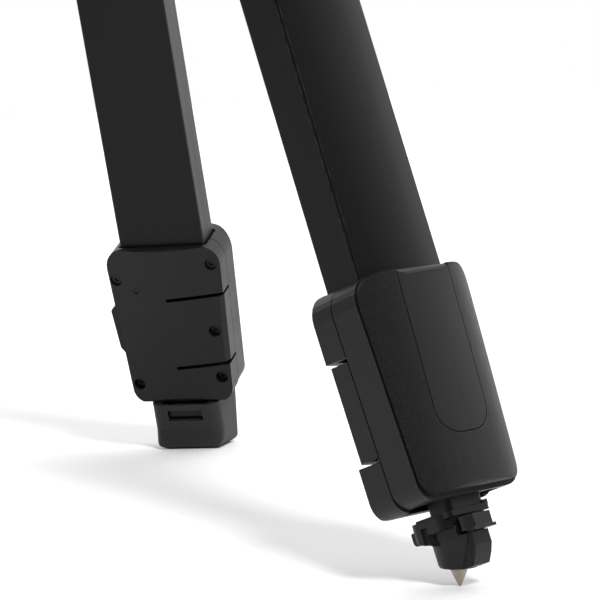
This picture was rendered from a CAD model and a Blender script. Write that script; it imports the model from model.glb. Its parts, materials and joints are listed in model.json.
"""Camera tripod: materials, studio light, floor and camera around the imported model.

Lengths are in metres.
"""

import json
import math

import bpy
from mathutils import Matrix, Vector

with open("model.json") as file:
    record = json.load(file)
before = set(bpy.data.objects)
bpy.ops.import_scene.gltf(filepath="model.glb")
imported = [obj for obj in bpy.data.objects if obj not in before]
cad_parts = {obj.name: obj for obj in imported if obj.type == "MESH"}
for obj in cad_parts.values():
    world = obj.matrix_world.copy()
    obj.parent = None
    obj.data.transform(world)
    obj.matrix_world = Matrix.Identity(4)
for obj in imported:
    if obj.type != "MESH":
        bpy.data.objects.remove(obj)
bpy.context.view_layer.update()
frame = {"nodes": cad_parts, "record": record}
nodes = frame["nodes"]

# Each leg's direction from the hub, in degrees from +X, and its lean from upright
LEGS = {"front": -90.0, "right": 30.0, "left": 150.0}
LEG_SPREAD = math.radians(19.0)

# Level of the floor under the feet, and half of its width
FLOOR_Z = -0.7919
FLOOR_HALF = 30.0

# Height of the finest bumps
BUMP_HEIGHT = 0.0002

# Reach of the light wear and of the dark seams from sharp edges, and the black of the seams
WEAR_REACH = 0.0007
SEAM_REACH = 0.0004
SEAM_BLACK = (0.0005, 0.0005, 0.0005)

# Specular level of the lock housing's shells and covers, and of the tubes
HOUSING_GLOSS = 0.27
TUBE_GLOSS = 0.17

# Where the surround's light starts to rise and where it is full, as cosines of the angle to its
# bright side
WORLD_FROM = -0.2
WORLD_FULL = 0.95


# Materials

def new_material(name, color, roughness):
    """A material of a plain colour, with its nodes, its shader and the object's coordinates."""
    material = bpy.data.materials.new(name)
    material.use_nodes = True
    tree = material.node_tree
    shader = tree.nodes["Principled BSDF"]
    shader.inputs["Base Color"].default_value = (*color, 1.0)
    shader.inputs["Roughness"].default_value = roughness
    coordinates = tree.nodes.new("ShaderNodeTexCoord")
    return material, tree, shader, coordinates.outputs["Object"]


def mapped(tree, vector, rotation=(0, 0, 0), scale=(1, 1, 1)):
    """Coordinates stretched by scale, and then turned by rotation."""
    node = tree.nodes.new("ShaderNodeMapping")
    node.inputs["Rotation"].default_value = rotation
    node.inputs["Scale"].default_value = scale
    tree.links.new(vector, node.inputs["Vector"])
    return node.outputs["Vector"]


def along_leg(tree, vector, leg):
    """Coordinates turned into a leg's own frame, so that +Z runs up the leg."""
    faced = mapped(tree, vector, rotation=(0, 0, math.radians(90 - LEGS[leg])))
    return mapped(tree, faced, rotation=(-LEG_SPREAD, 0, 0))


def noise(tree, vector, scale, detail, rough=0.5):
    """Even noise from 0 to 1. Its spots get smaller as scale grows."""
    node = tree.nodes.new("ShaderNodeTexNoise")
    node.inputs["Scale"].default_value = scale
    node.inputs["Detail"].default_value = detail
    node.inputs["Roughness"].default_value = rough
    tree.links.new(vector, node.inputs["Vector"])
    return node.outputs["Fac"]


def spread_over(tree, value, low, high, out_low, out_high):
    """The value, with its range from low to high spread over out_low to out_high."""
    node = tree.nodes.new("ShaderNodeMapRange")
    node.inputs["From Min"].default_value = low
    node.inputs["From Max"].default_value = high
    node.inputs["To Min"].default_value = out_low
    node.inputs["To Max"].default_value = out_high
    tree.links.new(value, node.inputs["Value"])
    return node.outputs["Result"]


def tint(tree, value, dark, light):
    """A colour that runs from dark to light with the value."""
    node = tree.nodes.new("ShaderNodeMix")
    node.data_type = "RGBA"
    node.inputs["A"].default_value = (*dark, 1.0)
    node.inputs["B"].default_value = (*light, 1.0)
    tree.links.new(value, node.inputs["Factor"])
    return node.outputs["Result"]


def blend(tree, base, color, factor):
    """The base colour, turned toward another colour by factor."""
    node = tree.nodes.new("ShaderNodeMix")
    node.data_type = "RGBA"
    node.inputs["B"].default_value = (*color, 1.0)
    tree.links.new(base, node.inputs["A"])
    tree.links.new(factor, node.inputs["Factor"])
    return node.outputs["Result"]


def multiply(tree, first, second):
    """The product of two values."""
    node = tree.nodes.new("ShaderNodeMath")
    node.operation = "MULTIPLY"
    tree.links.new(first, node.inputs[0])
    tree.links.new(second, node.inputs[1])
    return node.outputs["Value"]


def bumps(tree, shader, height, strength, distance=BUMP_HEIGHT):
    """Fine bumps on the surface, from the values of height."""
    node = tree.nodes.new("ShaderNodeBump")
    node.inputs["Strength"].default_value = strength
    node.inputs["Distance"].default_value = distance
    tree.links.new(height, node.inputs["Height"])
    tree.links.new(node.outputs["Normal"], shader.inputs["Normal"])


def sharp_edge(tree, reach):
    """One on sharp edges and zero elsewhere.

    An edge shows by how far the normal of a rounded surface turns away from the true one. The
    two numbers are the cosines of the turns where the edge begins and where it is full.
    """
    rounded = tree.nodes.new("ShaderNodeBevel")
    rounded.samples = 4
    rounded.inputs["Radius"].default_value = reach
    geometry = tree.nodes.new("ShaderNodeNewGeometry")
    agree = tree.nodes.new("ShaderNodeVectorMath")
    agree.operation = "DOT_PRODUCT"
    tree.links.new(rounded.outputs["Normal"], agree.inputs[0])
    tree.links.new(geometry.outputs["Normal"], agree.inputs[1])
    return spread_over(tree, agree.outputs["Value"], 0.98, 0.8, 0.0, 1.0)


def edge_tint(tree, base, light, where):
    """The base colour, worn lighter in patches along the edges."""
    patches = spread_over(tree, noise(tree, where, 260, 4), 0.42, 0.62, 0.0, 0.8)
    return blend(tree, base, light, multiply(tree, sharp_edge(tree, WEAR_REACH), patches))


def seam_edge(tree, shader, base):
    """Gives the shader the base colour, gone black and without gloss on the edges along a seam.

    A black metal reflects next to nothing, so the edges are turned into one.
    """
    edge = sharp_edge(tree, SEAM_REACH)
    tree.links.new(blend(tree, base, SEAM_BLACK, edge), shader.inputs["Base Color"])
    tree.links.new(edge, shader.inputs["Metallic"])


def tube_material(leg):
    """Black coated tube with faint drawn lines along the leg."""
    material, tree, shader, where = new_material(f"tube_{leg}", (0.008, 0.008, 0.009), 0.4)
    shader.inputs["Specular IOR Level"].default_value = TUBE_GLOSS
    lengthwise = mapped(tree, along_leg(tree, where, leg), scale=(1, 1, 0.008))
    streaks = noise(tree, lengthwise, 700, 3)
    cloud = noise(tree, where, 16, 3)
    base = tint(tree, cloud, (0.0035, 0.0035, 0.004), (0.006, 0.006, 0.0068))
    tree.links.new(edge_tint(tree, base, (0.05, 0.05, 0.052), where), shader.inputs["Base Color"])
    tree.links.new(spread_over(tree, streaks, 0.3, 0.7, 0.34, 0.46), shader.inputs["Roughness"])
    bumps(tree, shader, streaks, 0.1)
    return material


def moulded_material(name, dark, light, roughness, grain, strength, gloss=0.3, seams=False):
    """Plastic or paint with a fine even grain, worn on its edges or dark along its seams."""
    material, tree, shader, where = new_material(name, light, roughness)
    shader.inputs["Specular IOR Level"].default_value = gloss
    grains = noise(tree, where, grain, 2)
    cloud = noise(tree, where, 30, 3)
    base = tint(tree, cloud, dark, light)
    if seams:
        seam_edge(tree, shader, base)
    else:
        worn = tuple(min(1.0, 3.5 * c) for c in light)
        tree.links.new(edge_tint(tree, base, worn, where), shader.inputs["Base Color"])
    tree.links.new(spread_over(tree, cloud, 0.3, 0.7, roughness - 0.05, roughness + 0.05),
                   shader.inputs["Roughness"])
    bumps(tree, shader, grains, strength)
    return material


def cover_material():
    """Black coat with a fine sparkling grain."""
    material, tree, shader, where = new_material("cover", (0.012, 0.012, 0.013), 0.42)
    grains = noise(tree, where, 2800, 2, 0.6)
    sparks = spread_over(tree, grains, 0.52, 0.7, 0.0, 1.0)
    base = tint(tree, sparks, (0.001, 0.001, 0.0012), (0.026, 0.026, 0.027))
    shader.inputs["Specular IOR Level"].default_value = HOUSING_GLOSS
    seam_edge(tree, shader, base)
    tree.links.new(spread_over(tree, grains, 0.3, 0.7, 0.36, 0.5), shader.inputs["Roughness"])
    bumps(tree, shader, grains, 1.0, 2 * BUMP_HEIGHT)
    return material


def metal_material(name, color, roughness, scale=(1, 1, 1)):
    """Bare metal with fine machining marks, drawn out along an axis whose scale is small."""
    material, tree, shader, where = new_material(name, color, roughness)
    shader.inputs["Metallic"].default_value = 1.0
    lines = noise(tree, mapped(tree, where, scale=scale), 2000, 3)
    dark = tuple(0.8 * c for c in color)
    tree.links.new(tint(tree, lines, dark, color), shader.inputs["Base Color"])
    tree.links.new(spread_over(tree, lines, 0.3, 0.7, roughness - 0.08, roughness + 0.08),
                   shader.inputs["Roughness"])
    bumps(tree, shader, lines, 0.1)
    return material


def glass_material():
    """The level's tinted glass."""
    material, tree, shader, where = new_material("level_glass", (0.6, 0.85, 0.25), 0.05)
    shader.inputs["Transmission Weight"].default_value = 0.8
    cloud = noise(tree, where, 60, 2)
    tree.links.new(tint(tree, cloud, (0.5, 0.8, 0.2), (0.62, 0.88, 0.3)),
                   shader.inputs["Base Color"])
    return material


MATERIALS = {
    "casting": moulded_material(
        "casting", (0.010, 0.010, 0.011), (0.017, 0.017, 0.018), 0.46, grain=1500, strength=0.25),
    "shell": moulded_material(
        "shell", (0.0035, 0.0035, 0.004), (0.007, 0.007, 0.0075), 0.44, grain=1900, strength=0.5,
        gloss=HOUSING_GLOSS, seams=True),
    "cover": cover_material(),
    "lever": moulded_material(
        "lever", (0.009, 0.009, 0.010), (0.012, 0.012, 0.013), 0.5, grain=4000, strength=0.06,
        seams=True),
    "latch": moulded_material(
        "latch", (0.010, 0.010, 0.011), (0.016, 0.016, 0.017), 0.4, grain=2500, strength=0.1),
    "rubber": moulded_material(
        "rubber", (0.013, 0.013, 0.013), (0.02, 0.02, 0.02), 0.62, grain=1800, strength=0.2),
    "grey_plastic": moulded_material(
        "grey_plastic", (0.09, 0.09, 0.09), (0.13, 0.13, 0.13), 0.5, grain=2000, strength=0.1),
    "spike_steel": metal_material("spike_steel", (0.38, 0.335, 0.28), 0.34, scale=(1, 1, 0.1)),
    "bright_steel": metal_material("bright_steel", (0.42, 0.42, 0.43), 0.32),
    "dark_steel": metal_material("dark_steel", (0.03, 0.03, 0.03), 0.45),
    "cup": metal_material("cup", (0.5, 0.5, 0.5), 0.35),
    "level_glass": glass_material(),
}
TUBES = {leg: tube_material(leg) for leg in LEGS}

slot_of = {part["node"]: part["material_slot"] for part in frame["record"]["subparts"]}

# Edge rounds by material slot, for the moulded and cast pieces
EDGE_ROUNDS = {
    "casting": 0.0008,
    "shell": 0.0004,
    "cover": 0.0003,
    "lever": 0.0002,
    "latch": 0.0005,
    "rubber": 0.001,
}


def soften(obj, width):
    """Small rounds on the solid's sharp edges."""
    bevel = obj.modifiers.new("edge_round", "BEVEL")
    bevel.width = width
    bevel.segments = 2
    bevel.limit_method = "ANGLE"
    bevel.angle_limit = math.radians(40)


for name, obj in nodes.items():
    slot = slot_of[name]
    leg = name.split("_")[0]
    obj.data.materials.clear()
    obj.data.materials.append(TUBES[leg] if slot == "tube" else MATERIALS[slot])
    obj.data.polygons.foreach_set("material_index", [0] * len(obj.data.polygons))
    if slot in EDGE_ROUNDS:
        soften(obj, EDGE_ROUNDS[slot])


# Floor, light and camera

def make_floor():
    """A plain pale floor, wide enough to meet the backdrop out of sight."""
    corners = [(-FLOOR_HALF, -FLOOR_HALF), (FLOOR_HALF, -FLOOR_HALF),
               (FLOOR_HALF, FLOOR_HALF), (-FLOOR_HALF, FLOOR_HALF)]
    mesh = bpy.data.meshes.new("floor")
    mesh.from_pydata([(x, y, FLOOR_Z) for x, y in corners], [], [(0, 1, 2, 3)])
    mesh.materials.append(new_material("floor", (0.85, 0.85, 0.85), 0.8)[0])
    floor = bpy.data.objects.new("floor", mesh)
    bpy.context.scene.collection.objects.link(floor)


def sun_light(name, source, strength, spread_deg):
    """An even light that comes from the direction of source and doesn't show in reflections."""
    light = bpy.data.lights.new(name, "SUN")
    light.energy = strength
    light.angle = math.radians(spread_deg)
    obj = bpy.data.objects.new(name, light)
    bpy.context.scene.collection.objects.link(obj)
    obj.rotation_euler = Vector(source).to_track_quat("Z", "Y").to_euler()
    obj.visible_glossy = False


def make_world(bright_side, low, high):
    """White surround that looks plain white to the camera.

    Its light rises from low to high toward bright_side, a direction of length 1.
    """
    world = bpy.data.worlds.new("studio")
    bpy.context.scene.world = world
    world.use_nodes = True
    tree = world.node_tree
    lighting = tree.nodes["Background"]
    lighting.inputs["Color"].default_value = (1.0, 1.0, 1.0, 1.0)
    direction = tree.nodes.new("ShaderNodeTexCoord")
    along = tree.nodes.new("ShaderNodeVectorMath")
    along.operation = "DOT_PRODUCT"
    along.inputs[1].default_value = bright_side
    tree.links.new(direction.outputs["Generated"], along.inputs[0])
    tree.links.new(spread_over(tree, along.outputs["Value"], WORLD_FROM, WORLD_FULL, low, high),
                   lighting.inputs["Strength"])
    backdrop = tree.nodes.new("ShaderNodeBackground")
    backdrop.inputs["Color"].default_value = (1.0, 1.0, 1.0, 1.0)
    backdrop.inputs["Strength"].default_value = 1.0
    path = tree.nodes.new("ShaderNodeLightPath")
    mixed = tree.nodes.new("ShaderNodeMixShader")
    tree.links.new(path.outputs["Is Camera Ray"], mixed.inputs["Fac"])
    tree.links.new(lighting.outputs["Background"], mixed.inputs[1])
    tree.links.new(backdrop.outputs["Background"], mixed.inputs[2])
    tree.links.new(mixed.outputs["Shader"], tree.nodes["World Output"].inputs["Surface"])


def make_camera(place, yaw, pitch, roll, focal_px, width_px=600):
    """The photograph's camera. Yaw is from +Y toward +X, pitch is downward, roll about the view."""
    yaw, pitch, roll = math.radians(yaw), math.radians(pitch), math.radians(roll)
    level = math.cos(pitch)
    ahead = Vector((math.sin(yaw) * level, math.cos(yaw) * level, -math.sin(pitch)))
    side = Vector((math.cos(yaw), -math.sin(yaw), 0.0))
    up = side.cross(ahead)
    right = side * math.cos(roll) + up * math.sin(roll)
    above = up * math.cos(roll) - side * math.sin(roll)
    data = bpy.data.cameras.new("photo_camera")
    data.sensor_width = 36.0
    data.lens = 36.0 * focal_px / width_px
    data.clip_start = 0.05
    data.clip_end = 200.0
    camera = bpy.data.objects.new("photo_camera", data)
    bpy.context.scene.collection.objects.link(camera)
    turn = Matrix((right, above, -ahead)).transposed()
    camera.matrix_world = Matrix.Translation(place) @ turn.to_4x4()
    bpy.context.scene.camera = camera


make_floor()
make_world(bright_side=(0.76, 0.56, 0.33), low=0.04, high=1.8)
sun_light("key", (-0.55, -1.1, 1.0), strength=3.0, spread_deg=12)
sun_light("overhead", (0.25, 0.1, 1.0), strength=0.75, spread_deg=90)
make_camera((-0.853407, -1.089681, -0.573636), yaw=44.334, pitch=4.499, roll=-3.222,
            focal_px=2716.66)
bpy.context.scene.view_settings.view_transform = "Standard"
